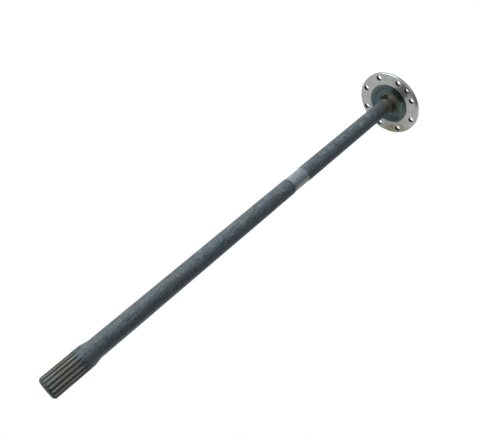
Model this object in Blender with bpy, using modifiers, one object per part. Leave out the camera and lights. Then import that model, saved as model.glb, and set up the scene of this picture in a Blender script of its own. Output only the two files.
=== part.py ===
"""A full-floating axle shaft: one steel forging with a splined end and a bolted, dished flange.

It stands on the flange's outer boss, with +Z along the shaft towards the splined end. The origin is
the centre of the boss face. Lengths are in metres. The jacking holes lie on the X axis.
"""

from math import acos, cos, pi, radians, sin, sqrt, tan

import bmesh
import bpy
from mathutils import Vector

MM = 0.001

# Overall length, from the boss face to the splined end
LENGTH = 1050.0 * MM

# Flange
FLANGE_RADIUS = 82.5 * MM
FLANGE_THICKNESS = 7.5 * MM
RIM_CHAMFER = 0.8 * MM

# Boss on the outer side, which keeps the web behind the dish as thick as the flange
BOSS_HEIGHT = 8.0 * MM
BOSS_OVER_DISH = 3.5 * MM
BOSS_DRAFT = 8.0 * MM
BOSS_FILLET = 3.0 * MM
BOSS_EDGE_RADIUS = 2.0 * MM

# Forged dish on the inner side, inside the machined ring that seats on the hub: a short lip, a
# sloping wall, and a floor that falls a little towards the fillet at the shaft's root
RING_WIDTH = 30.0 * MM
DISH_LIP_DEPTH = 0.9 * MM
DISH_LIP_DRAFT = 0.6 * MM
DISH_WALL_RUN = 9.0 * MM
DISH_FOOT_DEPTH = 6.5 * MM
DISH_FOOT_FILLET = 4.0 * MM
DISH_DEPTH = 8.0 * MM
ROOT_FILLET = 11.5 * MM
ROOT_HEIGHT = 18.0 * MM

# Stud holes, and the tapped holes that push the flange off the hub, each with the wall that is
# left between it and the rim
STUD_HOLES = 8
STUD_HOLE_RADIUS = 6.5 * MM
STUD_HOLE_WALL = 5.75 * MM
JACK_HOLES = 2
JACK_HOLE_RADIUS = 5.4 * MM
JACK_HOLE_WALL = 5.1 * MM
HOLE_CHAMFER = 0.6 * MM

# Forged shaft, which thickens evenly towards the splined end
SHAFT_FLANGE_RADIUS = 18.7 * MM
SHAFT_NECK_RADIUS = 19.9 * MM

# Ground band that the shaft runs in while it is machined
BAND_RADIUS = 18.2 * MM
BAND_START = 348.0 * MM
BAND_LENGTH = 52.0 * MM
BAND_STEP = 0.8 * MM

# Splined end: blank, involute grooves and their run-out where the hob lifts
SPLINE_TEETH = 17
SPLINE_RADIUS = 23.4 * MM
SPLINE_ROOT_RADIUS = 20.5 * MM
SPLINE_PITCH_RADIUS = 22.1 * MM
SPLINE_PRESSURE_ANGLE = radians(20)
SPLINE_ROOT_FILLET = 0.5 * MM
FIRST_GROOVE_ANGLE = radians(7)
GROOVE_LENGTH = 78.0 * MM
HOB_RADIUS = 38.0 * MM
SPLINE_BLANK_LENGTH = 89.0 * MM
SHOULDER_FILLET = 3.0 * MM
NECK_TAPER_LENGTH = 16.5 * MM
NECK_FILLET = 20.0 * MM
END_CHAMFER = 4.2 * MM

# Lathe centres in both ends
CENTRE_MOUTH_RADIUS = 6.0 * MM
CENTRE_PILOT_RADIUS = 2.5 * MM
CENTRE_PILOT_DEPTH = 5.0 * MM
CENTRE_CONE_ANGLE = radians(60)

# Facets, and how far a cutter runs past the face that it cuts
TURNED_STEPS = 68
HOLE_STEPS = 24
ARC_STEPS = 3
FLANK_STEPS = 3
RUNOUT_STEPS = 4
OVERCUT = 1.0 * MM
MERGE_DISTANCE = 0.01 * MM
SHARP_ANGLE = radians(32)

FORGED_COLOUR = (0.075, 0.095, 0.110, 1)
MACHINED_COLOUR = (0.42, 0.43, 0.42, 1)

FLANGE_OUTER_Z = BOSS_HEIGHT
FLANGE_INNER_Z = FLANGE_OUTER_Z + FLANGE_THICKNESS
DISH_RADIUS = FLANGE_RADIUS - RING_WIDTH
DISH_FOOT_RADIUS = DISH_RADIUS - DISH_WALL_RUN
BOSS_FOOT_RADIUS = DISH_RADIUS + BOSS_OVER_DISH
BOSS_FACE_RADIUS = BOSS_FOOT_RADIUS - BOSS_DRAFT
SHOULDER_Z = LENGTH - SPLINE_BLANK_LENGTH
NECK_Z = SHOULDER_Z - NECK_TAPER_LENGTH
ROOT_Z = FLANGE_INNER_Z + ROOT_HEIGHT


def clear_scene():
    for obj in list(bpy.data.objects):
        bpy.data.objects.remove(obj, do_unlink=True)


def new_collection(name):
    collection = bpy.data.collections.new(name)
    bpy.context.scene.collection.children.link(collection)
    return collection


def steel(name, colour, roughness, metallic):
    material = bpy.data.materials.new(name)
    material.use_nodes = True
    material.diffuse_color = colour
    shader = material.node_tree.nodes["Principled BSDF"]
    shader.inputs["Base Color"].default_value = colour
    shader.inputs["Roughness"].default_value = roughness
    shader.inputs["Metallic"].default_value = metallic
    return material


def rounded(corners, steps):
    """The outline through corners of (x, y, radius), with an arc of that radius at each.

    An arc takes at most half of each side beside it.
    """
    points = []
    for index, (x, y, radius) in enumerate(corners):
        corner = Vector((x, y))
        if not radius:
            points.append(corner)
            continue
        to_last = Vector(corners[index - 1][:2]) - corner
        to_next = Vector(corners[(index + 1) % len(corners)][:2]) - corner
        half_angle = to_last.angle(to_next) / 2
        reach = min(radius / tan(half_angle), 0.5 * to_last.length, 0.5 * to_next.length)
        radius = reach * tan(half_angle)
        to_last.normalize()
        to_next.normalize()
        centre = corner + (to_last + to_next).normalized() * radius / sin(half_angle)
        first = (corner + to_last * reach - centre).normalized()
        last = (corner + to_next * reach - centre).normalized()
        for step in range(steps + 1):
            points.append(centre + first.slerp(last, step / steps) * radius)
    return points


def turned(name, profile, steps, collection):
    """A solid of revolution about Z, from (radius, height) points down its outer side."""
    mesh = bpy.data.meshes.new(name)
    edges = [(index, index + 1) for index in range(len(profile) - 1)]
    mesh.from_pydata([(radius, 0, height) for radius, height in profile], edges, [])
    obj = bpy.data.objects.new(name, mesh)
    collection.objects.link(obj)
    screw = obj.modifiers.new("turn", "SCREW")
    screw.axis = "Z"
    screw.angle = 2 * pi
    screw.steps = steps
    screw.render_steps = steps
    screw.use_merge_vertices = True
    screw.merge_threshold = MERGE_DISTANCE
    return obj


def shaft_radius(height):
    """The forged shaft's radius, which tapers from the neck to the flange."""
    share = (height - ROOT_Z) / (NECK_Z - ROOT_Z)
    return SHAFT_FLANGE_RADIUS + share * (SHAFT_NECK_RADIUS - SHAFT_FLANGE_RADIUS)


def centre_hole(face_z, inward):
    """Profile points of a lathe centre, from its mouth on a face to the axis.

    Inward is the way in along Z, 1 or -1.
    """
    cone_depth = (CENTRE_MOUTH_RADIUS - CENTRE_PILOT_RADIUS) / tan(CENTRE_CONE_ANGLE / 2)
    cone_z = face_z + inward * cone_depth
    bottom_z = cone_z + inward * CENTRE_PILOT_DEPTH
    return [
        (CENTRE_MOUTH_RADIUS, face_z, 0),
        (CENTRE_PILOT_RADIUS, cone_z, 0),
        (CENTRE_PILOT_RADIUS, bottom_z, 0),
        (0, bottom_z, 0),
    ]


def splined_end():
    return [
        (SPLINE_RADIUS - END_CHAMFER, LENGTH, 0),
        (SPLINE_RADIUS, LENGTH - END_CHAMFER, 0),
        (SPLINE_RADIUS, SHOULDER_Z, SHOULDER_FILLET),
        (SHAFT_NECK_RADIUS, NECK_Z, NECK_FILLET),
    ]


def ground_band():
    band_end = BAND_START + BAND_LENGTH
    return [
        (shaft_radius(band_end), band_end, 0),
        (BAND_RADIUS, band_end - BAND_STEP, 0),
        (BAND_RADIUS, BAND_START + BAND_STEP, 0),
        (shaft_radius(BAND_START), BAND_START, 0),
    ]


def dish():
    return [
        (SHAFT_FLANGE_RADIUS, ROOT_Z, 0),
        (SHAFT_FLANGE_RADIUS, FLANGE_INNER_Z - DISH_DEPTH, ROOT_FILLET),
        (DISH_FOOT_RADIUS, FLANGE_INNER_Z - DISH_FOOT_DEPTH, DISH_FOOT_FILLET),
        (DISH_RADIUS - DISH_LIP_DRAFT, FLANGE_INNER_Z - DISH_LIP_DEPTH, 0),
        (DISH_RADIUS, FLANGE_INNER_Z, 0),
    ]


def flange_rim():
    return [
        (FLANGE_RADIUS - RIM_CHAMFER, FLANGE_INNER_Z, 0),
        (FLANGE_RADIUS, FLANGE_INNER_Z - RIM_CHAMFER, 0),
        (FLANGE_RADIUS, FLANGE_OUTER_Z + RIM_CHAMFER, 0),
        (FLANGE_RADIUS - RIM_CHAMFER, FLANGE_OUTER_Z, 0),
    ]


def outer_boss():
    return [
        (BOSS_FOOT_RADIUS, FLANGE_OUTER_Z, BOSS_FILLET),
        (BOSS_FACE_RADIUS, 0, BOSS_EDGE_RADIUS),
    ]


def shaft_profile():
    """Half of the lengthwise section, from the axis at the splined end to the axis at the boss."""
    corners = centre_hole(LENGTH, -1)[::-1]
    corners += splined_end() + ground_band() + dish() + flange_rim() + outer_boss()
    corners += centre_hole(0, 1)
    return rounded(corners, ARC_STEPS)


def gap_half_angle(radius):
    """Half of the angle that a tooth gap spans at a radius, with involute flanks."""

    def involute(angle):
        return tan(angle) - angle

    base_radius = SPLINE_PITCH_RADIUS * cos(SPLINE_PRESSURE_ANGLE)
    angle = acos(base_radius / max(radius, base_radius))
    return pi / (2 * SPLINE_TEETH) - involute(SPLINE_PRESSURE_ANGLE) + involute(angle)


def gap_section():
    """A tooth gap's outline, out along X from the root to past the blank, counter-clockwise seen from +Z."""
    outside = SPLINE_RADIUS + OVERCUT
    flank = []
    for step in range(FLANK_STEPS + 1):
        radius = SPLINE_ROOT_RADIUS + (outside - SPLINE_ROOT_RADIUS) * step / FLANK_STEPS
        half_angle = gap_half_angle(radius)
        flank.append((radius * cos(half_angle), radius * sin(half_angle), 0))
    flank[0] = (*flank[0][:2], SPLINE_ROOT_FILLET)
    mirrored = [(x, -y, fillet) for x, y, fillet in flank]
    return rounded(mirrored + flank[::-1], 2)


def groove_cutter_mesh():
    """The hob's path: straight through the end, then lifting on the hob's own radius."""
    lift_out = SPLINE_RADIUS - SPLINE_ROOT_RADIUS
    surface_run = sqrt(HOB_RADIUS**2 - (HOB_RADIUS - lift_out) ** 2)
    full_depth_end = LENGTH - GROOVE_LENGTH + surface_run
    stations = [(LENGTH + OVERCUT, 0)]
    last_run = sqrt(HOB_RADIUS**2 - (HOB_RADIUS - lift_out - OVERCUT / 2) ** 2)
    for step in range(RUNOUT_STEPS + 1):
        run = last_run * step / RUNOUT_STEPS
        stations.append((full_depth_end - run, HOB_RADIUS - sqrt(HOB_RADIUS**2 - run**2)))
    cutter = bmesh.new()
    section = gap_section()
    rings = [[cutter.verts.new((x + lift, y, z)) for x, y in section] for z, lift in stations]
    cutter.faces.new(rings[0])
    cutter.faces.new(rings[-1][::-1])
    for upper, lower in zip(rings, rings[1:]):
        for index in range(len(section)):
            after = (index + 1) % len(section)
            cutter.faces.new((upper[index], lower[index], lower[after], upper[after]))
    mesh = bpy.data.meshes.new("groove_cutter")
    cutter.to_mesh(mesh)
    cutter.free()
    return mesh


def add_groove_cutters(collection):
    mesh = groove_cutter_mesh()
    for index in range(SPLINE_TEETH):
        groove = bpy.data.objects.new(f"groove_cutter_{index + 1}", mesh)
        groove.rotation_euler.z = FIRST_GROOVE_ANGLE + 2 * pi * index / SPLINE_TEETH
        collection.objects.link(groove)


def add_hole_cutters(name, count, radius, wall, first_angle, collection):
    """Drills through the flange on a circle, each with a chamfer at both mouths.

    Below the flange each runs on, as a spot facer does, past the height of the boss.
    """
    top = FLANGE_INNER_Z + OVERCUT
    bottom = -OVERCUT
    wide = radius + HOLE_CHAMFER + OVERCUT
    circle_radius = FLANGE_RADIUS - wall - radius
    profile = [
        (0, top),
        (wide, top),
        (radius, FLANGE_INNER_Z - HOLE_CHAMFER),
        (radius, FLANGE_OUTER_Z + HOLE_CHAMFER),
        (wide, FLANGE_OUTER_Z - OVERCUT),
        (wide, bottom),
        (0, bottom),
    ]
    for index in range(count):
        angle = first_angle + 2 * pi * index / count
        drill = turned(f"{name}_{index + 1}", profile, HOLE_STEPS, collection)
        drill.location = (circle_radius * cos(angle), circle_radius * sin(angle), 0)


def cut(obj, cutters, machined):
    for cutter in cutters.objects:
        cutter.hide_render = True
        cutter.display_type = "WIRE"
        cutter.data.materials.clear()
        cutter.data.materials.append(machined)
    boolean = obj.modifiers.new("holes_and_grooves", "BOOLEAN")
    boolean.operation = "DIFFERENCE"
    boolean.operand_type = "COLLECTION"
    boolean.collection = cutters
    boolean.solver = "EXACT"
    boolean.material_mode = "TRANSFER"


def freeze(obj):
    """Turns the modifiers into the mesh."""
    depsgraph = bpy.context.evaluated_depsgraph_get()
    mesh = bpy.data.meshes.new_from_object(obj.evaluated_get(depsgraph))
    obj.modifiers.clear()
    obj.data = mesh


def finish_surfaces(mesh, machined):
    """Gives the faced ring, the rim, the ground band and the splined end the machined finish."""
    slot = mesh.materials.find(machined.name)
    band_end = BAND_START + BAND_LENGTH
    for face in mesh.polygons:
        radius = Vector(face.center[:2]).length
        height = face.center.z
        on_ring = radius > DISH_RADIUS and height > FLANGE_OUTER_Z
        on_band = BAND_START < height < band_end
        if on_ring or on_band or height > SHOULDER_Z:
            face.material_index = slot
    mesh.shade_smooth()
    mesh.set_sharp_from_angle(angle=SHARP_ANGLE)


def build():
    clear_scene()
    parts = new_collection("axle_shaft_parts")
    cutters = new_collection("cutters")
    forged = steel("forged_scale", FORGED_COLOUR, 0.55, 0.6)
    machined = steel("machined_steel", MACHINED_COLOUR, 0.35, 0.9)

    shaft = turned("axle_shaft", shaft_profile(), TURNED_STEPS, parts)
    shaft.data.materials.append(forged)
    add_groove_cutters(cutters)
    half_pitch = pi / STUD_HOLES
    add_hole_cutters(
        "stud_hole", STUD_HOLES, STUD_HOLE_RADIUS, STUD_HOLE_WALL, half_pitch, cutters
    )
    add_hole_cutters("jack_hole", JACK_HOLES, JACK_HOLE_RADIUS, JACK_HOLE_WALL, 0, cutters)
    cut(shaft, cutters, machined)
    freeze(shaft)
    finish_surfaces(shaft.data, machined)


build()
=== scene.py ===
"""Looks of a full-floating axle shaft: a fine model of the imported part, its finishes, camera and light.

Lengths are in metres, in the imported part's frame: the boss stands on z = 0, and the shaft runs up +Z.
"""

from functools import partial, reduce
from math import acos, cos, pi, radians, sin, sqrt, tan

import bmesh
import bpy
import numpy as np
from mathutils import Matrix, Vector, noise


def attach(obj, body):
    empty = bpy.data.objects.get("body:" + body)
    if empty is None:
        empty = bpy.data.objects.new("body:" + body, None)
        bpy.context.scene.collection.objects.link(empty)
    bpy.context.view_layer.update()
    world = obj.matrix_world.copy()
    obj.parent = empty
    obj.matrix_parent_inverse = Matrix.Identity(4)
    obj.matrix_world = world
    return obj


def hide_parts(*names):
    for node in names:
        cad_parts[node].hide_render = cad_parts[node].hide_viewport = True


MM = 0.001

# The part's own sizes
LENGTH = 1050.0 * MM
FLANGE_RADIUS = 82.5 * MM
FLANGE_THICKNESS = 7.5 * MM
RIM_CHAMFER = 0.8 * MM
BOSS_HEIGHT = 8.0 * MM
BOSS_FOOT_RADIUS = 56.0 * MM
BOSS_FACE_RADIUS = 48.0 * MM
BOSS_FILLET = 3.0 * MM
BOSS_EDGE_RADIUS = 2.0 * MM
DISH_RADIUS = 52.5 * MM
DISH_LIP_DEPTH = 0.9 * MM
DISH_LIP_DRAFT = 0.6 * MM
DISH_FOOT_RADIUS = 43.5 * MM
DISH_FOOT_DEPTH = 6.5 * MM
DISH_FOOT_FILLET = 4.0 * MM
DISH_DEPTH = 8.0 * MM
ROOT_FILLET = 11.5 * MM
ROOT_HEIGHT = 18.0 * MM
STUD_HOLES = 8
STUD_HOLE_RADIUS = 6.5 * MM
STUD_CIRCLE_RADIUS = 70.25 * MM
JACK_HOLES = 2
JACK_HOLE_RADIUS = 5.4 * MM
JACK_CIRCLE_RADIUS = 72.0 * MM
HOLE_CHAMFER = 0.6 * MM
SHAFT_FLANGE_RADIUS = 18.7 * MM
SHAFT_NECK_RADIUS = 19.9 * MM
BAND_RADIUS = 18.2 * MM
BAND_START = 348.0 * MM
BAND_LENGTH = 52.0 * MM
BAND_STEP = 0.8 * MM
SPLINE_TEETH = 17
SPLINE_RADIUS = 23.4 * MM
SPLINE_ROOT_RADIUS = 20.5 * MM
SPLINE_PITCH_RADIUS = 22.1 * MM
SPLINE_PRESSURE_ANGLE = radians(20)
FIRST_GROOVE_ANGLE = radians(7)
GROOVE_LENGTH = 78.0 * MM
HOB_RADIUS = 38.0 * MM
SPLINE_BLANK_LENGTH = 89.0 * MM
SHOULDER_FILLET = 3.0 * MM
NECK_TAPER_LENGTH = 16.5 * MM
NECK_FILLET = 20.0 * MM
END_CHAMFER = 4.2 * MM
CENTRE_MOUTH_RADIUS = 6.0 * MM
CENTRE_PILOT_RADIUS = 2.5 * MM
CENTRE_PILOT_DEPTH = 5.0 * MM
CENTRE_CONE_ANGLE = radians(60)

# Detail that the solid leaves out
EDGE_BREAK = 0.25 * MM
EDGE_BREAK_SHARE = 0.3
EDGE_SOFTNESS = 0.25
LIP_EDGE_RADIUS = 0.4 * MM
BAND_EDGE_LENGTH = 0.3 * MM
BAND_EDGE_DROP = 0.1 * MM
GROOVE_FILLET = 0.55 * MM
THREAD_PITCH = 1.75 * MM
THREAD_DEPTH = 0.75 * MM
THREAD_CREST = 1.25
THREAD_FLANK = 3.2

# Waves of the forged skin: their height, and scale across and along the shaft, shift and share of each
FORGED_WAVE_HEIGHT = 0.16 * MM
FORGED_WAVES = ((45, 17, 0, 1.0), (150, 80, 40, 0.4))
NECK_WAVINESS = 0.7
SHAFT_WAVINESS = 1.0
DISH_WAVINESS = 0.6
BOSS_WAVINESS = 0.3

# Where the columns stand in a groove, as shares of its section from its middle to its edge
GROOVE_SHARES = (0, 0.17, 0.28, 0.36, 0.45, 0.63, 0.82, 1.0)
GROOVE_STEPS = len(GROOVE_SHARES) - 1

# How finely the model is divided
FLANK_OVERRUN = 1.0 * MM
FLANK_STEPS = 8
GROOVE_FILLET_STEPS = 6
GROOVE_CURVE_POINTS = 60
CLOSED_GROOVE_SHARE = 0.02
CREST_STEPS = 2
CHAMFER_STEPS = 10
STRAIGHT_STEPS = 6
RUN_OUT_STEPS = 16
COLLAR_STEPS = 4
COLLAR_STEP = 1.0 * MM
RISE_STEP = 1e-9
LIFT_MARGIN = 1e-6
NECK_RUN = 30.0 * MM
SHAFT_ROW_STEP = 10.0 * MM
BAND_CLEARANCE = 2.0 * MM
BAND_ROW_INSET = 3.0 * MM
ROOT_CLEARANCE = 4.0 * MM
END_ARC_STEPS = 4
NECK_ARC_STEPS = 8
DISH_ARC_STEPS = 10
RIM_ARC_STEPS = 3
BOSS_ARC_STEPS = 6
HOLE_COLUMNS = 48
PLAIN_HOLE_ROWS = 5
THREAD_ROWS_PER_PITCH = 8
SHARP_ANGLE = radians(38)

FLANGE_OUTER_Z = BOSS_HEIGHT
FLANGE_INNER_Z = FLANGE_OUTER_Z + FLANGE_THICKNESS
SHOULDER_Z = LENGTH - SPLINE_BLANK_LENGTH
NECK_Z = SHOULDER_Z - NECK_TAPER_LENGTH
ROOT_Z = FLANGE_INNER_Z + ROOT_HEIGHT
BAND_END = BAND_START + BAND_LENGTH
CHAMFER_Z = LENGTH - END_CHAMFER
GROOVE_END_Z = LENGTH - GROOVE_LENGTH
SPLINE_DEPTH = SPLINE_RADIUS - SPLINE_ROOT_RADIUS
CENTRE_CONE_DEPTH = (CENTRE_MOUTH_RADIUS - CENTRE_PILOT_RADIUS) / tan(CENTRE_CONE_ANGLE / 2)
HALF_PITCH = pi / SPLINE_TEETH
COLUMNS_PER_TOOTH = 2 * (GROOVE_STEPS + 2 + CREST_STEPS)
COLUMNS = SPLINE_TEETH * COLUMNS_PER_TOOTH

# Holes: how many, radius of their circle, own radius, azimuth of the first, threaded
HOLE_PATTERNS = (
    (STUD_HOLES, STUD_CIRCLE_RADIUS, STUD_HOLE_RADIUS, pi / STUD_HOLES, False),
    (JACK_HOLES, JACK_CIRCLE_RADIUS, JACK_HOLE_RADIUS, 0.0, True),
)

# Material slots of the fine model
SCALE, DISH, RING, BORE, SPLINE, BAND = range(6)

# Colours of the finishes
SCALE_BLUE = (0.070, 0.098, 0.128)
SCALE_GREEN = (0.062, 0.096, 0.104)
SCALE_WARM = (0.088, 0.096, 0.100)
SCALE_PALE = (0.180, 0.205, 0.225)
SCALE_DARK = (0.020, 0.026, 0.030)
DISH_TEAL = (0.058, 0.095, 0.093)
DISH_BLUE = (0.054, 0.083, 0.100)
DISH_PALE = (0.150, 0.172, 0.165)
DISH_DARK = (0.022, 0.028, 0.029)
DISH_WARM = (0.122, 0.110, 0.094)
DISH_MOSS = (0.090, 0.108, 0.090)
# Soot in random patches, also used as painted shade round the shaft's root
SOOT_AND_PAINTED_SHADE = (0.018, 0.019, 0.018)
FACED_LIGHT = (0.43, 0.445, 0.43)
FACED_DARK = (0.29, 0.305, 0.295)
FACED_DULL = (0.22, 0.23, 0.215)
FACED_STAIN_AND_SHADE = (0.175, 0.173, 0.115)
RIM_DULL = (0.24, 0.25, 0.24)
RIM_BRIGHT = (0.55, 0.57, 0.57)
RIM_SHADE = (0.07, 0.072, 0.066)
HOLE_DARK = (0.004, 0.004, 0.004)
HOLE_SOIL = (0.020, 0.018, 0.015)
SPLINE_LIGHT = (0.190, 0.198, 0.194)
SPLINE_DARK = (0.098, 0.100, 0.092)
SPLINE_BRIGHT = (0.330, 0.335, 0.320)
SPLINE_OLIVE = (0.118, 0.112, 0.080)
SPLINE_BLUE = (0.130, 0.155, 0.172)
SPLINE_END = (0.085, 0.098, 0.105)
GROOVE_DARK = (0.120, 0.121, 0.108)
BAND_LIGHT = (0.220, 0.275, 0.320)
BAND_DARK = (0.105, 0.136, 0.158)
BAND_BRIGHT = (0.350, 0.400, 0.450)
# Painted highlight on the band
BAND_PAINTED_HIGHLIGHT = (0.41, 0.435, 0.41)

# How the finishes shine. A pair of roughnesses belongs to the two ends of ROUGHNESS_SPAN.
ROUGHNESS_SPAN = (0.3, 0.7)
SCALE_ROUGHNESS = (0.52, 0.66)
SCALE_IOR = 1.32
DISH_METALLIC = 0.9
DISH_ROUGHNESS = (0.2, 0.32)
ROOT_EXTRA_ROUGHNESS = 0.3
FACED_METALLIC = 0.9
FACED_ROUGHNESS = (0.22, 0.32)
RIM_EXTRA_ROUGHNESS = 0.15
HOLE_ROUGHNESS = 0.6
HOLE_IOR = 1.25
SPLINE_METALLIC = 0.2
SPLINE_ROUGHNESS = (0.6, 0.7)
SPLINE_IOR = 1.24
BAND_ROUGHNESS = (0.32, 0.44)
BAND_IOR = 1.42

# Noises: scale across and along the shaft, detail, roughness
SCALE_NOISES = {
    "broad": (48, 16, 3, 0.55),
    "warmth": (-90, 26, 3, 0.6),
    "patch": (140, 60, 5, 0.62),
    "fleck": (330, 210, 3, 0.6),
}
FOOT_NOISES = {"foot_broad": (-75, 55, 3, 0.6), "foot_patch": (150, 150, 5, 0.62)}
DISH_NOISES = {"broad": (60, 60, 3, 0.55)}
FACED_NOISES = {"cloud": (60, 60, 4, 0.6), "fleck": (260, 260, 4, 0.62)}
HOLE_NOISES = {"soil": (400, 400, 3, 0.5)}
SPLINE_NOISES = {"along": (230, 14, 4, 0.6), "olive": (60, 40, 3, 0.5)}
BAND_NOISES = {"lines": (20, 1600, 3, 0.6), "cloud": (120, 70, 4, 0.6), "mottle": (210, 210, 4, 0.65)}

# Noises in rings about the shaft: scale outwards and round it, detail, roughness
DISH_RINGS = {"ripple": (330, 24, 3, 0.6)}
FACED_RINGS = {"streak": (900, 14, 3, 0.65), "fine": (3600, 56, 2, 0.5)}

# Relief: share of each noise, depth, strength
SCALE_RELIEF = ({"patch": 0.6, "fleck": 0.4}, 0.3 * MM, 0.8)
DISH_RELIEF = ({"foot_patch": 0.6, "ripple": 0.4}, 0.2 * MM, 0.6)
FACED_RELIEF = ({"streak": 0.5, "fine": 0.5}, 0.05 * MM, 0.5)
SPLINE_RELIEF = ({"along": 0.6, "fleck": 0.4}, 0.12 * MM, 0.6)
BAND_RELIEF = ({"lines": 1.0}, 0.04 * MM, 0.6)

# Layers of a colour: the value that places it, where it starts and is full, strength, colour
SCALE_LAYERS = (
    ("broad", 0.38, 0.62, 1.0, SCALE_GREEN),
    ("warmth", 0.48, 0.66, 0.8, SCALE_WARM),
    ("patch", 0.50, 0.76, 0.9, SCALE_PALE),
    ("patch", 0.46, 0.30, 0.85, SCALE_DARK),
    ("fleck", 0.52, 0.73, 0.65, SCALE_PALE),
    ("fleck", 0.48, 0.30, 0.75, SCALE_DARK),
)
FOOT_LAYERS = (
    ("foot_broad", 0.44, 0.58, 1.0, DISH_MOSS),
    ("foot_patch", 0.53, 0.34, 0.8, SOOT_AND_PAINTED_SHADE),
)
DISH_LAYERS = (
    ("broad", 0.38, 0.62, 1.0, DISH_TEAL),
    ("ripple", 0.50, 0.78, 1.0, DISH_PALE),
    ("ripple", 0.46, 0.26, 0.8, DISH_DARK),
    ("foot_patch", 0.46, 0.28, 0.7, DISH_DARK),
    # Painted highlight round the lip
    ("radius", DISH_RADIUS - 4.5 * MM, DISH_RADIUS - 1.0 * MM, 0.3, DISH_PALE),
    # Painted shade in a thin line at the lip's step
    ("radius", DISH_RADIUS - 1.1 * MM, DISH_RADIUS - 0.6 * MM, 0.85, DISH_DARK),
)
FACED_LAYERS = (
    ("streak", 0.30, 0.70, 1.0, FACED_LIGHT),
    ("cloud", 0.50, 0.80, 0.7, FACED_DULL),
    ("fleck", 0.56, 0.78, 0.7, FACED_DULL),
)
SPLINE_LAYERS = (
    ("along", 0.35, 0.65, 1.0, SPLINE_LIGHT),
    ("fleck", 0.50, 0.72, 0.7, SPLINE_DARK),
    ("olive", 0.42, 0.62, 0.75, SPLINE_OLIVE),
)
BAND_LAYERS = (
    ("lines", 0.30, 0.70, 1.0, BAND_LIGHT),
    ("cloud", 0.42, 0.72, 0.8, BAND_DARK),
    ("mottle", 0.50, 0.72, 0.7, BAND_BRIGHT),
    ("mottle", 0.48, 0.34, 0.8, BAND_DARK),
    ("z", BAND_START + 12 * MM, BAND_START + 40 * MM, 0.35, BAND_LIGHT),
)

# Spans of a value: where it starts and is full, and for some what it goes from and to there
FOOT_SPAN = (ROOT_Z + 50 * MM, ROOT_Z + 6 * MM, 0.0, 0.85)
FOOT_JOIN_SPAN = (ROOT_Z + 5 * MM, ROOT_Z)
# Painted shade that darkens the shaft towards the flange
ROOT_SHADE_SPAN = (120 * MM, 30 * MM)
ROOT_SHADE_START_SPAN = (ROOT_Z, ROOT_Z + 8 * MM, 0.0, 0.5)
# Painted shadow, with some soot, beside the band's upper step
BAND_STEP_SHADE_SPAN = (6 * MM, 2 * MM, 0.0, 0.5)
ROOT_SPAN = (31 * MM, 25 * MM)
DISH_WALL_SPAN = (DISH_FOOT_RADIUS - 1 * MM, DISH_FOOT_RADIUS + 3 * MM, 0.0, 0.14)
RIM_SPAN = (FLANGE_RADIUS - RIM_CHAMFER - 0.5 * MM, FLANGE_RADIUS - RIM_CHAMFER)
GROOVE_WALL_SPAN = (SPLINE_ROOT_RADIUS + 0.3 * MM, SPLINE_RADIUS - 0.3 * MM)
BLUED_SPAN = (LENGTH - 34 * MM, LENGTH - 12 * MM, 0.0, 0.7)
END_CHAMFER_SPAN = (CHAMFER_Z - 0.6 * MM, CHAMFER_Z + 0.6 * MM)
COLLAR_SPAN = (GROOVE_END_Z + 17 * MM, GROOVE_END_Z + 3 * MM)
BAND_LOWER_SPAN = (BAND_START + 8 * MM, BAND_START - 1 * MM)
BAND_UPPER_SPAN = (BAND_END - 8 * MM, BAND_END)

# How much of the rim's dull colour covers the ring's
RIM_DULL_SHARE = 0.8

# How far a noise moves the edge of such a span, from one extreme to the other
FOOT_FRAY = 50 * MM
ROOT_SHADE_FRAY = 40 * MM
ROOT_FRAY = 12 * MM
BLUED_FRAY = 16 * MM
COLLAR_FRAY = 26 * MM
BAND_FRAY = 22 * MM

# Areas where several values are in their spans at once
UPPER_AREA = (("z", 560 * MM, 760 * MM), ("z", 960 * MM, 920 * MM, 0.0, 0.14))
# Painted shade round the shaft's foot, weaker on the +x side
ROOT_SHADE_AREA = (
    ("wavy", 26 * MM, 23 * MM),
    ("x", 21 * MM, 10 * MM, 0.25, 1.0),
    ("z", ROOT_Z, ROOT_Z - 12 * MM),
)
# Painted shade on the front of the root fillet, towards +x
FRONT_SHADE_AREA = (("x", 20 * MM, 26 * MM, 0.0, 0.6), ("aside", 14 * MM, 6 * MM))
# A stain on the ring, widened and darkened as the shaft's painted shadow
STAIN_AND_SHADE_AREA = (
    ("y", -16 * MM, -48 * MM),
    ("x", 16 * MM, -26 * MM),
    ("cloud", 0.35, 0.6, 0.4, 0.95),
)
# Painted shade on the outer ring and rim near azimuth 0, broken into flecks
RIM_SHADE_AREA = (
    ("x", 58 * MM, 74 * MM),
    ("y", 4 * MM, -26 * MM),
    ("radius", FLANGE_RADIUS - 8 * MM, FLANGE_RADIUS - 2 * MM),
    ("fleck", 0.25, 0.6, 0.45, 0.85),
)

# The band's painted highlight: azimuth, spread to either side
BAND_HIGHLIGHT_PLACE = (radians(-46), radians(22))

# Patches of painted light and shade: the share of their spread at full strength, and how far they fade out
# and in across the radius
PATCH_CORE = 0.3
PATCH_OVERHANG = 1.0 * MM
PATCH_INSET = 2.0 * MM

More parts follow.
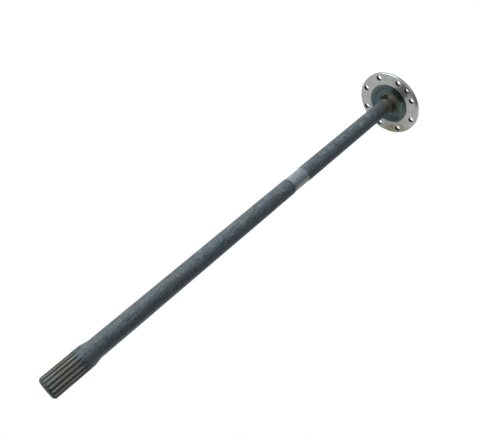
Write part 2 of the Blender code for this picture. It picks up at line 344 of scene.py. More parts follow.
# Each patch of painted light and shade: azimuth, spread to either side, inner and outer radius, strength,
# colour
# Painted light and shade in the dish: a highlight on the wall at 38°, shade on wall and floor at 102° and
# -36°, the shaft's shadow at -132°, and shade at the root at 136° and -122°
DISH_PAINTED_LIGHT_AND_SHADE = (
    (radians(38), radians(48), 43.0 * MM, 54.0 * MM, 0.5, DISH_PALE),
    (radians(102), radians(38), 39.0 * MM, 54.0 * MM, 0.5, DISH_DARK),
    (radians(-36), radians(34), 38.0 * MM, 46.0 * MM, 0.55, DISH_DARK),
    (radians(-132), radians(46), 36.0 * MM, 53.0 * MM, 0.5, DISH_DARK),
    (radians(136), radians(36), 10.0 * MM, 31.0 * MM, 0.6, SOOT_AND_PAINTED_SHADE),
    (radians(-122), radians(56), 10.0 * MM, 34.0 * MM, 0.65, SOOT_AND_PAINTED_SHADE),
)
# Painted highlights on the rim at 42° and -47°, and the shaft's painted shadow on it at -108°
RIM_PAINTED_LIGHT_AND_SHADE = (
    (radians(42), radians(20), 81.5 * MM, 86.0 * MM, 0.8, RIM_BRIGHT),
    (radians(-47), radians(18), 81.5 * MM, 86.0 * MM, 0.6, RIM_BRIGHT),
    (radians(-108), radians(66), 81.5 * MM, 86.0 * MM, 0.9, RIM_SHADE),
)
# Painted light on the splines' shaded side at -38°, and painted shade on their lower edge at -86°
SPLINE_PAINTED_LIGHT_AND_SHADE = (
    (radians(-38), radians(36), 20.0 * MM, 26.0 * MM, 0.6, SPLINE_BRIGHT),
    (radians(-86), radians(26), 20.0 * MM, 26.0 * MM, 0.7, SPLINE_DARK),
)

# Soft lights round the shaft: azimuth, distance, height of the middle, width and height, power
KEY_LIGHT = (radians(70), 2.0, 0.60, (1.6, 1.5), 64)
FILL_LIGHT = (radians(-115), 2.0, 0.60, (2.6, 1.9), 21)
AMBIENT = 0.16
WHITE = (1, 1, 1, 1)
FLOOR_REACH = 20.0
FLOOR_GLOW = 0.90
FLOOR_COLOUR = (0.30, 0.30, 0.30, 1)
FLOOR_ROUGHNESS = 0.9

# Camera, fitted to the photograph's frame of 480 by 440
CAMERA_PLACE = Vector((1.136706, 0.077917, 1.128272))
CAMERA_RIGHT = Vector((0.38589938, -0.616759, -0.68606852))
CAMERA_UP = Vector((0.24508652, 0.78548824, -0.56827882))
CAMERA_BACK = Vector((0.88938983, 0.0511523, 0.45427874))
CAMERA_LENS = 45.3686
SENSOR_WIDTH = 36.0
CAMERA_FAR = 50.0


def rounded(corners, steps):
    """The outline through corners of (x, y, radius), with an arc of that radius at each."""
    points = []
    for index, (x, y, radius) in enumerate(corners):
        corner = Vector((x, y))
        if not radius:
            points.append(corner)
            continue
        to_last = Vector(corners[index - 1][:2]) - corner
        to_next = Vector(corners[(index + 1) % len(corners)][:2]) - corner
        half_angle = to_last.angle(to_next) / 2
        reach = min(radius / tan(half_angle), 0.5 * to_last.length, 0.5 * to_next.length)
        radius = reach * tan(half_angle)
        to_last.normalize()
        to_next.normalize()
        centre = corner + (to_last + to_next).normalized() * radius / sin(half_angle)
        first = (corner + to_last * reach - centre).normalized()
        last = (corner + to_next * reach - centre).normalized()
        for step in range(steps + 1):
            points.append(centre + first.slerp(last, step / steps) * radius)
    return points


def shaft_radius(height):
    """The forged shaft's radius, which grows evenly from the flange to the neck."""
    share = (height - ROOT_Z) / (NECK_Z - ROOT_Z)
    return SHAFT_FLANGE_RADIUS + share * (SHAFT_NECK_RADIUS - SHAFT_FLANGE_RADIUS)


def involute(angle):
    return tan(angle) - angle


def gap_half_angle(radius):
    """Half of the angle that a tooth gap spans at a radius."""
    base_radius = SPLINE_PITCH_RADIUS * cos(SPLINE_PRESSURE_ANGLE)
    angle = acos(base_radius / max(radius, base_radius))
    return HALF_PITCH / 2 - involute(SPLINE_PRESSURE_ANGLE) + involute(angle)


def run_along(x, y):
    """The length along a curve up to each of its points."""
    return np.concatenate([[0], np.cumsum(np.hypot(np.diff(x), np.diff(y)))])


def groove_curve():
    """Half of a groove's section, from the middle of its root up its flank: its x values and y values."""
    top = SPLINE_RADIUS + FLANK_OVERRUN
    corners = [(SPLINE_ROOT_RADIUS, 0, 0)]
    for step in range(FLANK_STEPS + 1):
        radius = SPLINE_ROOT_RADIUS + (top - SPLINE_ROOT_RADIUS) * step / FLANK_STEPS
        angle = gap_half_angle(radius)
        fillet = GROOVE_FILLET if step == 0 else 0
        corners.append((radius * cos(angle), radius * sin(angle), fillet))
    x, y = np.array([tuple(point) for point in rounded(corners, GROOVE_FILLET_STEPS)]).T
    run = run_along(x, y)
    even = np.linspace(0, run[-1], GROOVE_CURVE_POINTS)
    return np.interp(even, run, x), np.interp(even, run, y)


def tooth_row(curve, blank_radius, lift):
    """(angle, radius) of the columns of one half tooth, from a groove's middle to the next tooth's.

    Lift is how far the hob has come out of the groove.
    """
    x = curve[0] + lift
    y = curve[1]
    radius = np.hypot(x, y)
    depth = blank_radius - radius[0]
    if depth <= 0:
        edge = CLOSED_GROOVE_SHARE * HALF_PITCH
        groove = [(edge * step / GROOVE_STEPS, blank_radius) for step in range(GROOVE_STEPS + 1)]
        softness = 0
    else:
        angle = np.arctan2(y, x)
        run = run_along(x, y)
        edge_break = min(EDGE_BREAK, EDGE_BREAK_SHARE * depth)
        # A radius is looked up below, so each is a hair larger than the one before
        rise = np.maximum.accumulate(radius + np.arange(len(radius)) * RISE_STEP)
        places = np.array(GROOVE_SHARES) * np.interp(blank_radius - edge_break, rise, run)
        groove = list(zip(np.interp(places, run, angle), np.interp(places, run, radius)))
        edge = np.interp(np.interp(blank_radius, rise, run), run, angle)
        softness = EDGE_SOFTNESS * edge_break
    break_angle = min(EDGE_BREAK / blank_radius, EDGE_BREAK_SHARE * (HALF_PITCH - edge))
    groove.append((edge + EDGE_SOFTNESS * break_angle, blank_radius - softness))
    crest_start = edge + break_angle
    for step in range(CREST_STEPS + 1):
        groove.append((crest_start + (HALF_PITCH - crest_start) * step / CREST_STEPS, blank_radius))
    return groove


def spline_ring(curve, blank_radius, lift, height, evenness):
    """One ring of points round the splined end. Evenness blends the columns' angles to equal steps."""
    half = tooth_row(curve, blank_radius, lift)
    per_half = len(half) - 1
    ring = []
    for tooth in range(SPLINE_TEETH):
        middle = FIRST_GROOVE_ANGLE + 2 * HALF_PITCH * tooth
        for column in range(2 * per_half):
            mirrored = column > per_half
            angle, radius = half[2 * per_half - column if mirrored else column]
            offset = 2 * HALF_PITCH - angle if mirrored else angle
            even = HALF_PITCH * column / per_half
            turned_by = middle + offset + (even - offset) * evenness
            ring.append((radius * cos(turned_by), radius * sin(turned_by), height))
    return ring


def spline_stations():
    """(blank radius, lift, height, evenness) of each ring, from the chamfer down to the collar.

    The lift margin keeps the last run-out ring just in the blank, and the collar's rings just clear of it.
    """
    run_out = sqrt(HOB_RADIUS**2 - (HOB_RADIUS - SPLINE_DEPTH) ** 2)
    full_depth_end = GROOVE_END_Z + run_out
    stations = []
    for step in range(CHAMFER_STEPS + 1):
        drop = SPLINE_DEPTH * step / CHAMFER_STEPS
        stations.append((SPLINE_ROOT_RADIUS + drop, 0, CHAMFER_Z + SPLINE_DEPTH - drop, 0))
    stations.append((SPLINE_RADIUS, 0, CHAMFER_Z - EDGE_BREAK, 0))
    for step in range(1, STRAIGHT_STEPS + 1):
        height = CHAMFER_Z - (CHAMFER_Z - full_depth_end) * step / STRAIGHT_STEPS
        stations.append((SPLINE_RADIUS, 0, height, 0))
    for step in range(1, RUN_OUT_STEPS + 1):
        run = run_out * step / RUN_OUT_STEPS
        lift = min(HOB_RADIUS - sqrt(HOB_RADIUS**2 - run**2), SPLINE_DEPTH - LIFT_MARGIN)
        stations.append((SPLINE_RADIUS, lift, full_depth_end - run, 0))
    for step in range(1, COLLAR_STEPS + 1):
        height = full_depth_end - run_out - step * COLLAR_STEP
        stations.append((SPLINE_RADIUS, SPLINE_DEPTH + LIFT_MARGIN, height, step / COLLAR_STEPS))
    return stations


def spaced(start, end):
    """Heights from start to end, about one row step apart."""
    count = max(1, round(abs(start - end) / SHAFT_ROW_STEP))
    return [start + (end - start) * step / count for step in range(count + 1)]


def profile_below_collar():
    """The turned outline below the splines, as (radius, height, slot, share of forging waviness)."""
    rows = []

    def add(points, slot, waviness):
        rows.extend((radius, height, slot, waviness) for radius, height in points)

    def add_shaft(start, end):
        add([(shaft_radius(height), height) for height in spaced(start, end)], SCALE, SHAFT_WAVINESS)

    def add_band_edge(edge, outwards):
        """The rounded edge of the band's step. Outwards is 1 above the band and -1 below it."""
        radius = shaft_radius(edge)
        points = [(radius, edge + outwards * BAND_EDGE_LENGTH), (radius - BAND_EDGE_DROP, edge)]
        add(points[::outwards], SCALE, SHAFT_WAVINESS)

    neck_end = NECK_Z - NECK_RUN
    neck = rounded(
        [
            (SPLINE_RADIUS, SHOULDER_Z + 3 * SHOULDER_FILLET, 0),
            (SPLINE_RADIUS, SHOULDER_Z, SHOULDER_FILLET),
            (SHAFT_NECK_RADIUS, NECK_Z, NECK_FILLET),
            (shaft_radius(neck_end), neck_end, 0),
        ],
        NECK_ARC_STEPS,
    )
    add(neck[1:], SCALE, NECK_WAVINESS)
    add_shaft(neck_end - SHAFT_ROW_STEP, BAND_END + BAND_CLEARANCE)
    add_band_edge(BAND_END, 1)
    band = [BAND_END - BAND_STEP]
    band += spaced(BAND_END - BAND_ROW_INSET, BAND_START + BAND_ROW_INSET)
    band += [BAND_START + BAND_STEP]
    add([(BAND_RADIUS, height) for height in band], BAND, 0)
    add_band_edge(BAND_START, -1)
    add_shaft(BAND_START - BAND_CLEARANCE, ROOT_Z + ROOT_CLEARANCE)
    dish = rounded(
        [
            (SHAFT_FLANGE_RADIUS, ROOT_Z, 0),
            (SHAFT_FLANGE_RADIUS, FLANGE_INNER_Z - DISH_DEPTH, ROOT_FILLET),
            (DISH_FOOT_RADIUS, FLANGE_INNER_Z - DISH_FOOT_DEPTH, DISH_FOOT_FILLET),
            (DISH_RADIUS - DISH_LIP_DRAFT, FLANGE_INNER_Z - DISH_LIP_DEPTH, LIP_EDGE_RADIUS),
            (DISH_RADIUS, FLANGE_INNER_Z, 0),
        ],
        DISH_ARC_STEPS,
    )
    add(dish, DISH, DISH_WAVINESS)
    return rows


def profile_outside():
    """The rim, and then the boss, as (radius, height, slot, share of forging waviness) rows."""
    low = FLANGE_OUTER_Z
    high = FLANGE_INNER_Z
    rim = rounded(
        [
            (FLANGE_RADIUS - RIM_CHAMFER, high, 0),
            (FLANGE_RADIUS, high - RIM_CHAMFER, EDGE_BREAK),
            (FLANGE_RADIUS, low + RIM_CHAMFER, EDGE_BREAK),
            (FLANGE_RADIUS - RIM_CHAMFER, low, 0),
        ],
        RIM_ARC_STEPS,
    )
    boss = rounded(
        [
            (BOSS_FOOT_RADIUS + 2 * BOSS_FILLET, low, 0),
            (BOSS_FOOT_RADIUS, low, BOSS_FILLET),
            (BOSS_FACE_RADIUS, 0, BOSS_EDGE_RADIUS),
            (CENTRE_MOUTH_RADIUS, 0, EDGE_BREAK),
            (CENTRE_PILOT_RADIUS, CENTRE_CONE_DEPTH, 0),
            (CENTRE_PILOT_RADIUS, CENTRE_CONE_DEPTH + CENTRE_PILOT_DEPTH, 0),
        ],
        BOSS_ARC_STEPS,
    )
    return [(*point, RING, 0) for point in rim], [(*point, SCALE, BOSS_WAVINESS) for point in boss]


def forged_bulge(angle, radius, height):
    """How far the forged skin stands out or in, in slow and in quicker waves along and round it."""
    place = Vector((radius * cos(angle), radius * sin(angle), height))
    waves = 0
    for across, along, shift, share in FORGED_WAVES:
        spot = Vector((place.x * across, place.y * across, place.z * along + shift))
        waves += share * noise.noise(spot)
    return FORGED_WAVE_HEIGHT * waves


class Shell:
    """Builds one closed mesh from rings of points, each joined to the ring before it."""

    def __init__(self):
        self.mesh = bmesh.new()
        self.angles = [FIRST_GROOVE_ANGLE + 2 * pi * column / COLUMNS for column in range(COLUMNS)]

    def ring(self, points):
        return [self.mesh.verts.new(point) for point in points]

    def add_face(self, corners, slot):
        face = self.mesh.faces.new(corners)
        face.material_index = slot
        face.smooth = True

    def join(self, upper, lower, slot):
        """Joins two rings by a belt of four-sided faces."""
        count = len(upper)
        for column in range(count):
            after = (column + 1) % count
            self.add_face((upper[column], lower[column], lower[after], upper[after]), slot)

    def cap(self, ring, tip, slot):
        """Closes a ring by triangles that meet in one point."""
        point = self.mesh.verts.new(tip)
        for column in range(len(ring)):
            self.add_face((ring[column], ring[(column + 1) % len(ring)], point), slot)

    def turned_ring(self, radius, height, waviness):
        """A ring about the shaft's axis."""
        points = []
        for angle in self.angles:
            bulge = waviness * forged_bulge(angle, radius, height) if waviness else 0
            points.append(((radius + bulge) * cos(angle), (radius + bulge) * sin(angle), height))
        return self.ring(points)

    def turned_rows(self, rows, last_ring):
        """Joins a turned ring for each row to the last one, and returns the last ring."""
        for radius, height, slot, waviness in rows:
            ring = self.turned_ring(radius, height, waviness)
            self.join(last_ring, ring, slot)
            last_ring = ring
        return last_ring

    def fill(self, rings, slot):
        """Fills the flat face between rings, and keeps its border sharp for a flat shade."""
        edges = []
        for ring in rings:
            for column in range(len(ring)):
                edges.append(self.mesh.edges.get((ring[column], ring[(column + 1) % len(ring)])))
        made = bmesh.ops.triangle_fill(self.mesh, use_beauty=True, edges=edges)
        for face in made["geom"]:
            if isinstance(face, bmesh.types.BMFace):
                face.material_index = slot
                face.smooth = True
        for edge in edges:
            edge.smooth = False


def hole_rows(threaded):
    """Heights of the rings of a hole's wall, from the inner mouth to the outer one."""
    span = FLANGE_THICKNESS - HOLE_CHAMFER - EDGE_BREAK
    count = round(span / THREAD_PITCH * THREAD_ROWS_PER_PITCH) if threaded else PLAIN_HOLE_ROWS
    heights = [FLANGE_INNER_Z, FLANGE_INNER_Z - HOLE_CHAMFER / 2]
    for step in range(count + 1):
        heights.append(FLANGE_INNER_Z - HOLE_CHAMFER - span * step / count)
    heights.append(FLANGE_OUTER_Z)
    return heights


def hole_reach(radius, threaded, height, angle):
    """The radius of a hole's wall at a height and angle, with its mouths and its thread."""
    inner = HOLE_CHAMFER - (FLANGE_INNER_Z - height)
    outer = EDGE_BREAK - (height - FLANGE_OUTER_Z)
    reach = radius + max(0, inner, outer)
    if threaded:
        phase = (height / THREAD_PITCH - angle / (2 * pi)) % 1
        crest = min(1, max(0, THREAD_CREST - abs(phase - 0.5) * THREAD_FLANK))
        reach = max(reach, radius + THREAD_DEPTH * (1 - crest))
    return reach


def add_hole(shell, x, y, radius, threaded):
    """Adds one hole's wall and returns the rings of its two mouths."""
    rings = []
    for height in hole_rows(threaded):
        points = []
        for column in range(HOLE_COLUMNS):
            angle = 2 * pi * column / HOLE_COLUMNS
            reach = hole_reach(radius, threaded, height, angle)
            points.append((x + reach * cos(angle), y + reach * sin(angle), height))
        rings.append(shell.ring(points))
    for upper, lower in zip(rings, rings[1:]):
        shell.join(lower, upper, BORE)
    return rings[0], rings[-1]


def add_holes(shell):
    """Adds the walls of all holes, and returns the rings of their inner and of their outer mouths."""
    mouths = []
    for count, circle_radius, radius, first_angle, threaded in HOLE_PATTERNS:
        for index in range(count):
            angle = first_angle + 2 * pi * index / count
            x = circle_radius * cos(angle)
            y = circle_radius * sin(angle)
            mouths.append(add_hole(shell, x, y, radius, threaded))
    return zip(*mouths)


def add_splined_end(shell):
    """Adds lathe centre, end face, chamfer and splines, and returns the ring where the collar begins."""
    end = rounded(
        [
            (CENTRE_PILOT_RADIUS, LENGTH - CENTRE_CONE_DEPTH - CENTRE_PILOT_DEPTH, 0),
            (CENTRE_PILOT_RADIUS, LENGTH - CENTRE_CONE_DEPTH, 0),
            (CENTRE_MOUTH_RADIUS, LENGTH, EDGE_BREAK),
            (SPLINE_RADIUS - END_CHAMFER, LENGTH, EDGE_BREAK),
            (SPLINE_ROOT_RADIUS, CHAMFER_Z + SPLINE_DEPTH, 0),
        ],
        END_ARC_STEPS,
    )
    ring = shell.turned_ring(*end[0], 0)
    shell.cap(ring, (0, 0, end[0][1]), SPLINE)
    ring = shell.turned_rows([(*point, SPLINE, 0) for point in end[1:-1]], ring)
    curve = groove_curve()
    for station in spline_stations():
        following = shell.ring(spline_ring(curve, *station))
        shell.join(ring, following, SPLINE)
        ring = following
    return ring


def forging_mesh():
    """The whole forging as one closed mesh, made from the splined end down to the boss."""
    shell = Shell()
    collar = add_splined_end(shell)
    dish_mouth = shell.turned_rows(profile_below_collar(), collar)
    rim_rows, boss_rows = profile_outside()
    rim_top = shell.turned_ring(*rim_rows[0][:2], 0)
    rim_bottom = shell.turned_rows(rim_rows[1:], rim_top)
    boss_foot = shell.turned_ring(*boss_rows[0][:2], 0)
    pilot_end = shell.turned_rows(boss_rows[1:], boss_foot)
    shell.cap(pilot_end[::-1], (0, 0, boss_rows[-1][1]), SCALE)
    inner_mouths, outer_mouths = add_holes(shell)
    shell.fill([dish_mouth, rim_top, *inner_mouths], RING)
    shell.fill([rim_bottom, boss_foot, *outer_mouths], RING)

    bmesh.ops.recalc_face_normals(shell.mesh, faces=shell.mesh.faces)
    mesh = bpy.data.meshes.new("axle_shaft_forging")
    shell.mesh.to_mesh(mesh)
    shell.mesh.free()
    return mesh


class Graph:
    """Short calls for making a material's nodes.

    What they take for a value is a number, a socket or the name of one of the graph's own values.
    """

    def __init__(self, name, noises, rings=None):
        self.material = bpy.data.materials.new(name)
        self.material.use_nodes = True
        self.nodes = self.material.node_tree.nodes
        self.links = self.material.node_tree.links
        self.shader = self.nodes["Principled BSDF"]
        split = self.nodes.new("ShaderNodeSeparateXYZ")
        self.put(split.inputs[0], self.nodes.new("ShaderNodeTexCoord").outputs["Object"])
        self.values = dict(zip("xyz", split.outputs))
        square = self.total(self.product("x", "x"), self.product("y", "y"))
        self.values["radius"] = self.math("SQRT", square)
        for label, (across, along, *kind) in noises.items():
            self.values[label] = self.noise(("x", across), ("y", across), ("z", along), *kind)
        for label, (outwards, about, *kind) in (rings or {}).items():
            self.values[label] = self.noise(("radius", outwards), ("x", about), ("y", about), *kind)

    def put(self, socket, value):
        """Sets a socket to a number or colour, or links it to what gives the value."""
        if isinstance(value, str):
            value = self.values[value]
        if isinstance(value, bpy.types.NodeSocket):
            self.links.new(value, socket)
        elif isinstance(value, tuple) and socket.type == "RGBA":
            socket.default_value = (*value, 1)
        else:
            socket.default_value = value

    def math(self, operation, first, second=0.0):
        node = self.nodes.new("ShaderNodeMath")
        node.operation = operation
        self.put(node.inputs[0], first)
        self.put(node.inputs[1], second)
        return node.outputs[0]

    def product(self, *values):
        return reduce(partial(self.math, "MULTIPLY"), values)

    def total(self, *values):
        return reduce(partial(self.math, "ADD"), values)

    def noise(self, first, second, third, detail, roughness):
        """A noise at the place that three (value, scale) pairs give."""
        vector = self.nodes.new("ShaderNodeCombineXYZ")
        for socket, (value, scale) in zip(vector.inputs, (first, second, third)):
            self.put(socket, self.product(value, scale))
        node = self.nodes.new("ShaderNodeTexNoise")
        self.put(node.inputs["Vector"], vector.outputs[0])
        self.put(node.inputs["Scale"], 1.0)
        self.put(node.inputs["Detail"], detail)
        self.put(node.inputs["Roughness"], roughness)
        return node.outputs["Fac"]

    def between(self, value, low, high, to_low=0.0, to_high=1.0):
        """A smooth step from to_low to to_high as the value goes from low to high."""
        node = self.nodes.new("ShaderNodeMapRange")
        node.interpolation_type = "SMOOTHSTEP"
        names = ("Value", "From Min", "From Max", "To Min", "To Max")
        for name, number in zip(names, (value, low, high, to_low, to_high)):
            self.put(node.inputs[name], number)
        return node.outputs["Result"]

    def overlap(self, spans):
        """The product of several smooth steps."""
        return self.product(*(self.between(*span) for span in spans))

    def frayed(self, value, mover, reach):
        """A value that a noise moves up and down, so that an edge set by it is uneven."""
        return self.total(value, self.product(self.math("SUBTRACT", mover, 0.5), reach))

    def towards(self, azimuth, spread):
        """1 on the side of the shaft that faces an azimuth, fading to 0 at the spread to either side."""
        along = self.total(self.product("x", cos(azimuth)), self.product("y", sin(azimuth)))
        return self.between(self.math("DIVIDE", along, "radius"), cos(spread), cos(PATCH_CORE * spread))

    def mix(self, share, first, second):
        """The first colour, with a share of the second over it."""
        node = self.nodes.new("ShaderNodeMix")
        node.data_type = "RGBA"
        self.put(node.inputs["Factor"], share)
        self.put(node.inputs["A"], first)
        self.put(node.inputs["B"], second)
        return node.outputs["Result"]

    def layered(self, colour, layers):
        """A colour with others laid over it."""
        for value, start, full, strength, tint in layers:
            colour = self.mix(self.between(value, start, full, 0.0, strength), colour, tint)
        return colour

    def with_painted_light_and_shade(self, colour, radius, patches):
        """A colour with soft-edged patches of painted light and shade on it, each over a span of azimuth
        and radius.
        """
        for azimuth, spread, inner, outer, strength, tint in patches:
            share = self.product(
                self.between(radius, inner - PATCH_OVERHANG, inner + PATCH_INSET),
                self.between(radius, outer + PATCH_OVERHANG, outer - PATCH_INSET),
                self.towards(azimuth, spread),
                strength,
            )
            colour = self.mix(share, colour, tint)
        return colour

    def roughness(self, value, span):
        """A roughness that follows a noise, from one end of its pair to the other."""
        return self.between(value, *ROUGHNESS_SPAN, *span)

    def relief(self, shares, depth, strength):
        """A surface normal that follows the sum of shares of noises."""
        node = self.nodes.new("ShaderNodeBump")
        self.put(node.inputs["Height"], self.total(*(self.product(*pair) for pair in shares.items())))
        self.put(node.inputs["Distance"], depth)
        self.put(node.inputs["Strength"], strength)
        return node.outputs["Normal"]

    def finish(self, **values):
        """Puts values on the shader's inputs of these names, and returns the material."""
        for name, value in values.items():
            self.put(self.shader.inputs[name.replace("_", " ").title().replace("Ior", "IOR")], value)
        return self.material


def forging_scale():
    """Forging scale, warm close to the flange, darkened towards it with painted shade and beside the
    band's upper step with painted shadow.
    """
    graph = Graph("forging_scale", SCALE_NOISES | FOOT_NOISES)
    near_foot = graph.between(graph.frayed("z", "patch", FOOT_FRAY), *FOOT_SPAN)
    at_foot = graph.between("z", *FOOT_JOIN_SPAN)
    # Painted shade: the scale darkens towards the flange
    root_shade = graph.between(graph.frayed("z", "patch", ROOT_SHADE_FRAY), *ROOT_SHADE_SPAN)
    root_shade_start = graph.between("z", *ROOT_SHADE_START_SPAN)
    from_band = graph.math("ABSOLUTE", graph.math("SUBTRACT", "z", BAND_END))

    colour = graph.layered(SCALE_BLUE, SCALE_LAYERS)
    foot = graph.layered(DISH_WARM, FOOT_LAYERS)
    colour = graph.mix(graph.math("MAXIMUM", near_foot, at_foot), colour, foot)
    colour = graph.mix(graph.product(root_shade, root_shade_start), colour, SOOT_AND_PAINTED_SHADE)
    # Painted shadow of the band's upper step, with some soot
    colour = graph.mix(graph.between(from_band, *BAND_STEP_SHADE_SPAN), colour, SCALE_DARK)
    colour = graph.mix(graph.overlap(UPPER_AREA), colour, SCALE_DARK)
    return graph.finish(
        base_color=colour,
        roughness=graph.roughness("patch", SCALE_ROUGHNESS),
        ior=SCALE_IOR,
        normal=graph.relief(*SCALE_RELIEF),
    )


def dish_scale():
    """Darker and smoother scale in the dish, warmer in tone round the foot of the shaft, with painted
    shade at the foot and patches of painted light and shade.
    """
    graph = Graph("dish_scale", DISH_NOISES | FOOT_NOISES, DISH_RINGS)
    graph.values["wavy"] = graph.frayed("radius", "foot_patch", ROOT_FRAY)
    graph.values["aside"] = graph.math("ABSOLUTE", "y")
    root = graph.between("wavy", *ROOT_SPAN)
    # Painted shade round the foot of the shaft, weaker towards +x
    painted_root_shade = graph.overlap(ROOT_SHADE_AREA)
    bare = graph.math("SUBTRACT", 1.0, root)

    foot = graph.layered(DISH_WARM, FOOT_LAYERS)
    # Painted shade on the front of the root fillet
    foot = graph.mix(graph.overlap(FRONT_SHADE_AREA), foot, SOOT_AND_PAINTED_SHADE)
    foot = graph.mix(painted_root_shade, foot, SOOT_AND_PAINTED_SHADE)
    colour = graph.mix(root, graph.layered(DISH_BLUE, DISH_LAYERS), foot)
    # Patches of painted light and shade over the dish
    colour = graph.with_painted_light_and_shade(colour, "wavy", DISH_PAINTED_LIGHT_AND_SHADE)
    return graph.finish(
        base_color=colour,
        metallic=graph.product(graph.math("MAXIMUM", bare, painted_root_shade), DISH_METALLIC),
        roughness=graph.total(
            graph.roughness("foot_patch", DISH_ROUGHNESS),
            graph.between("radius", *DISH_WALL_SPAN),
            graph.product(root, ROOT_EXTRA_ROUGHNESS),
        ),
        ior=SCALE_IOR,
        normal=graph.relief(*DISH_RELIEF),
    )


def faced_steel():
    """Machined ring and rim, with the rings that the turning tool leaves, a stain darkened with painted
    shade, and painted highlights and shade near the rim.
    """
    graph = Graph("faced_steel", FACED_NOISES, FACED_RINGS)
    rim = graph.between("radius", *RIM_SPAN)

    colour = graph.layered(FACED_DARK, FACED_LAYERS)
    # Stain with the shaft's painted shadow on the ring
    colour = graph.mix(graph.overlap(STAIN_AND_SHADE_AREA), colour, FACED_STAIN_AND_SHADE)
    colour = graph.mix(graph.product(rim, RIM_DULL_SHARE), colour, RIM_DULL)
    # Painted shade on the outer ring near azimuth 0
    colour = graph.mix(graph.overlap(RIM_SHADE_AREA), colour, RIM_SHADE)
    # Painted highlights and shade on the rim
    colour = graph.with_painted_light_and_shade(colour, "radius", RIM_PAINTED_LIGHT_AND_SHADE)
    return graph.finish(
        base_color=colour,
        metallic=FACED_METALLIC,
        roughness=graph.total(
            graph.roughness("cloud", FACED_ROUGHNESS),
            graph.product(rim, RIM_EXTRA_ROUGHNESS),
        ),
        normal=graph.relief(*FACED_RELIEF),
    )


def hole_wall():
    """The holes' walls: dark scale and oil, made nearly black with painted shade, soiled in places."""
    graph = Graph("hole_wall", HOLE_NOISES)
    return graph.finish(
        # Nearly black walls: dark scale and oil, partly painted shade
        base_color=graph.mix("soil", HOLE_DARK, HOLE_SOIL),
        roughness=HOLE_ROUGHNESS,
        ior=HOLE_IOR,
    )


def splined_steel():
    """Worn steel on the teeth, darker in the grooves, fading into scale on the collar, with painted light
    and shade on the lower side.
    """
    graph = Graph("splined_steel", SCALE_NOISES | SPLINE_NOISES)
    blued = graph.between(graph.frayed("z", "patch", BLUED_FRAY), *BLUED_SPAN)
    collar = graph.between(graph.frayed("z", "patch", COLLAR_FRAY), *COLLAR_SPAN)

    crest = graph.layered(SPLINE_DARK, SPLINE_LAYERS)
    crest = graph.mix(blued, crest, SPLINE_BLUE)
    # Painted light and shade on the splines' lower side
    crest = graph.with_painted_light_and_shade(crest, "radius", SPLINE_PAINTED_LIGHT_AND_SHADE)
    colour = graph.mix(graph.between("radius", *GROOVE_WALL_SPAN), GROOVE_DARK, crest)
    colour = graph.mix(graph.between("z", *END_CHAMFER_SPAN), colour, SPLINE_END)
    colour = graph.mix(collar, colour, graph.layered(SCALE_BLUE, SCALE_LAYERS))
    return graph.finish(
        base_color=colour,
        metallic=SPLINE_METALLIC,
        roughness=graph.roughness("patch", SPLINE_ROUGHNESS),
        ior=SPLINE_IOR,
        normal=graph.relief(*SPLINE_RELIEF),
    )


def ground_band():
    """The ground steady band, painted paler on one side as a highlight, whose ends fade into scale."""
    graph = Graph("ground_band", SCALE_NOISES | BAND_NOISES)
    place = graph.frayed("z", "patch", BAND_FRAY)
    lower_end = graph.between(place, *BAND_LOWER_SPAN)
    upper_end = graph.between(place, *BAND_UPPER_SPAN)

    colour = graph.layered(BAND_DARK, BAND_LAYERS)
    # Painted highlight on one side of the band
    colour = graph.mix(graph.towards(*BAND_HIGHLIGHT_PLACE), colour, BAND_PAINTED_HIGHLIGHT)
    ends = graph.math("MAXIMUM", lower_end, upper_end)
    colour = graph.mix(ends, colour, graph.layered(SCALE_BLUE, SCALE_LAYERS))
    return graph.finish(
        base_color=colour,
        roughness=graph.roughness("cloud", BAND_ROUGHNESS),
        ior=BAND_IOR,
        normal=graph.relief(*BAND_RELIEF),
    )


def add_camera():
    """Adds the camera, which stands where the photograph's stood."""
    data = bpy.data.cameras.new("camera")
    data.sensor_fit = "HORIZONTAL"
    data.sensor_width = SENSOR_WIDTH
    data.lens = CAMERA_LENS
    data.clip_end = CAMERA_FAR
    camera = bpy.data.objects.new("camera", data)
    axes = Matrix((CAMERA_RIGHT, CAMERA_UP, CAMERA_BACK)).transposed().to_4x4()
    camera.matrix_world = Matrix.Translation(CAMERA_PLACE) @ axes
    bpy.context.scene.collection.objects.link(camera)
    bpy.context.scene.camera = camera


def glow_for_view(nodes, links, seen_strength, strength_elsewhere):
    """A strength for what the camera, a reflection or a refraction sees, and another elsewhere."""
    path = nodes.new("ShaderNodeLightPath")
    seen = path.outputs["Is Camera Ray"]
    for name in ("Is Glossy Ray", "Is Transmission Ray"):
        add = nodes.new("ShaderNodeMath")
        add.operation = "MAXIMUM"
        links.new(seen, add.inputs[0])
        links.new(path.outputs[name], add.inputs[1])
        seen = add.outputs[0]
    mix = nodes.new("ShaderNodeMapRange")
    mix.inputs["To Min"].default_value = strength_elsewhere
    mix.inputs["To Max"].default_value = seen_strength
    links.new(seen, mix.inputs["Value"])
    return mix.outputs["Result"]


def add_world():
    """Adds the white surroundings, which light the shaft only faintly."""
    world = bpy.data.worlds.new("studio")
    bpy.context.scene.world = world
    world.use_nodes = True
    nodes = world.node_tree.nodes
    links = world.node_tree.links
    background = nodes["Background"]
    background.inputs["Color"].default_value = WHITE
    links.new(glow_for_view(nodes, links, 1.0, AMBIENT), background.inputs["Strength"])


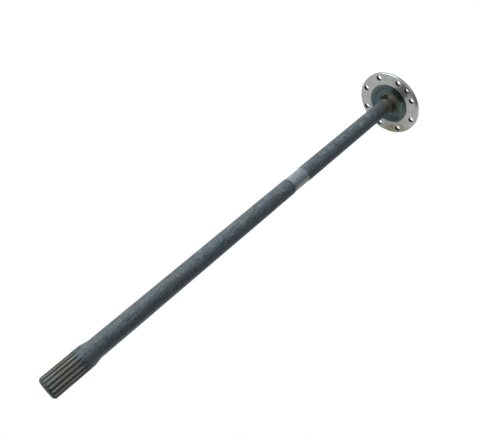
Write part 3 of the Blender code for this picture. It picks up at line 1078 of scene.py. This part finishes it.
def add_soft_light(name, azimuth, distance, height, size, power):
    """A rectangular lamp that stands round the shaft and faces its middle."""
    data = bpy.data.lights.new(name, "AREA")
    data.shape = "RECTANGLE"
    data.size, data.size_y = size
    data.energy = power
    light = bpy.data.objects.new(name, data)
    light.location = (distance * cos(azimuth), distance * sin(azimuth), height)
    light.visible_camera = False
    light.rotation_euler = (light.location - Vector((0, 0, LENGTH / 2))).to_track_quat("Z", "Y").to_euler()
    bpy.context.scene.collection.objects.link(light)


def add_floor():
    """Adds the white floor, which stays out of the export."""
    mesh = bpy.data.meshes.new("floor")
    signs = ((-1, -1), (1, -1), (1, 1), (-1, 1))
    corners = [(x * FLOOR_REACH, y * FLOOR_REACH, 0) for x, y in signs]
    mesh.from_pydata(corners, [], [(0, 1, 2, 3)])
    floor = bpy.data.objects.new("floor", mesh)
    bpy.context.scene.collection.objects.link(floor)
    material = bpy.data.materials.new("pale_floor")
    material.use_nodes = True
    nodes = material.node_tree.nodes
    links = material.node_tree.links
    shader = nodes["Principled BSDF"]
    shader.inputs["Base Color"].default_value = FLOOR_COLOUR
    shader.inputs["Roughness"].default_value = FLOOR_ROUGHNESS
    shader.inputs["Emission Color"].default_value = WHITE
    links.new(glow_for_view(nodes, links, FLOOR_GLOW, 0.0), shader.inputs["Emission Strength"])
    mesh.materials.append(material)


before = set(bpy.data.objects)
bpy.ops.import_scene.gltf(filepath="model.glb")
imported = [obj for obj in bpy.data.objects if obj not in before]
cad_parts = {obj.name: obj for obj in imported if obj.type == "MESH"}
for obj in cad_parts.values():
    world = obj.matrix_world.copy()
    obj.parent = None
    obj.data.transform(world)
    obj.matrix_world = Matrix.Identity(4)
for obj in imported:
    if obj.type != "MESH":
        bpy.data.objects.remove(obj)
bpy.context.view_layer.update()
bpy.context.scene.view_settings.view_transform = "Standard"

add_camera()
add_world()
add_floor()
add_soft_light("key", *KEY_LIGHT)
add_soft_light("fill", *FILL_LIGHT)

forging = bpy.data.objects.new("axle_shaft_forging", forging_mesh())
bpy.context.scene.collection.objects.link(forging)
for make in (forging_scale, dish_scale, faced_steel, hole_wall, splined_steel, ground_band):
    forging.data.materials.append(make())
forging.data.set_sharp_from_angle(angle=SHARP_ANGLE)
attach(forging, "root")
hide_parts("axle_shaft")
